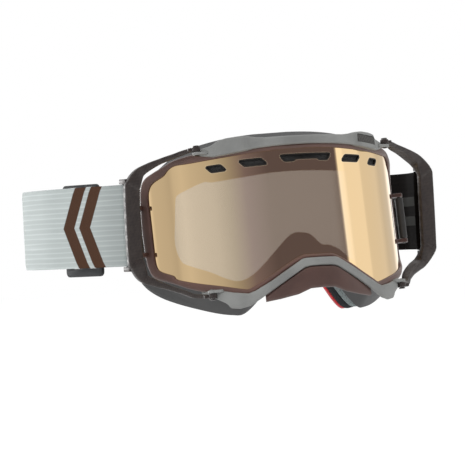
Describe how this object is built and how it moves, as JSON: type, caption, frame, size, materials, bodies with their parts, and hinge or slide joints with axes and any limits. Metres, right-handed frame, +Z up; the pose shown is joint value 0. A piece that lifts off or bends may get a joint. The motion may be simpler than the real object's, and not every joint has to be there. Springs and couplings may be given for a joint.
{
  "type": "snowmobile goggles",
  "caption": "Wide cylindrical double-lens snowmobile goggles with a foam face seal, nose guard, swivelling side outriggers and an adjustable elastic strap loop.",
  "frame": {"origin": "middle of the face seal's opening, between the wearer's eyes", "axes": "+X to the viewer's right when facing the lens, +Y towards the back of the head so the lens faces -Y, +Z up; the strap is level"},
  "size_m": [0.2556, 0.2888, 0.1122],
  "materials": {
    "soft_frame": "matt moulded soft plastic, slightly textured",
    "brown_plastic": "satin moulded plastic with a violet-brown cast",
    "grey_trim": "fine matt moulded plastic",
    "badge": "dark ribbed inlay, blank",
    "guard_plastic": "satin moulded plastic",
    "lens_mirror": "amber-bronze tint under a light gold mirror coating",
    "lens_clear": "pale tinted clear pane",
    "gasket": "black closed-cell foam tape",
    "vent_foam": "open-cell filter foam",
    "foam_grey": "grey open-cell foam",
    "foam_dark": "dark open-cell foam",
    "fleece": "red brushed fleece",
    "outrigger_plastic": "dark brown plastic with a fine woven texture",
    "pins": "turned steel pin, satin",
    "webbing": "elastic webbing, pale grey-green outside with fine cross ribs, black inside",
    "thread": "bar tacks in dark thread",
    "silicone": "grey silicone beads",
    "slider_plastic": "dark blue-grey moulded plastic"
  },
  "bodies": {
    "frame": {"face_frame": "soft_frame", "lens_frame": "brown_plastic", "brow_trim": "grey_trim", "ear_badge": "badge", "chin_trim": "grey_trim", "nose_guard": "guard_plastic", "outer_lens": "lens_mirror", "inner_lens": "lens_clear", "lens_gasket": "gasket", "lens_vent_foam": "vent_foam", "top_vent_foam": "vent_foam", "bottom_vent_foam": "vent_foam", "foam_base": "foam_grey", "foam_middle": "foam_dark", "foam_fleece": "fleece", "outrigger_pins": "pins", "lens_lock_pins": "pins", "strap": "webbing", "strap_stitching": "thread", "grip_strips": "silicone"},
    "outrigger_left": {"outrigger_left": "outrigger_plastic"},
    "outrigger_right": {"outrigger_right": "outrigger_plastic"},
    "lens_lock_left": {"lens_lock_left": "grey_trim"},
    "lens_lock_right": {"lens_lock_right": "grey_trim"},
    "slider": {"slider": "slider_plastic", "slider_stitching": "thread"}
  },
  "joints": [
    {"name": "outrigger_left_swivel", "type": "hinge", "parent": "frame", "child": "outrigger_left", "pos_m": [-0.06451, -0.02117, 0.03119], "axis": [0, -0.1478, -0.989], "range_deg": [-25, 5], "deforming": ["strap"]},
    {"name": "outrigger_right_swivel", "type": "hinge", "parent": "frame", "child": "outrigger_right", "pos_m": [0.06451, -0.02117, 0.03119], "axis": [0, 0.1478, 0.989], "range_deg": [-25, 5], "deforming": ["strap"]},
    {"name": "lens_lock_left_flip", "type": "hinge", "parent": "frame", "child": "lens_lock_left", "pos_m": [-0.09139, 0.01443, -0.0075], "axis": [0, 0.1478, 0.989], "range_deg": [0, 60]},
    {"name": "lens_lock_right_flip", "type": "hinge", "parent": "frame", "child": "lens_lock_right", "pos_m": [0.09139, 0.01443, -0.0075], "axis": [0, -0.1478, -0.989], "range_deg": [0, 60]},
    {"name": "slider_slide", "type": "slide", "parent": "outrigger_left", "child": "slider", "axis": [-0.3157, 0.9489, 0], "range_m": [-0.012, 0.005], "deforming": ["strap"]}
  ]
}
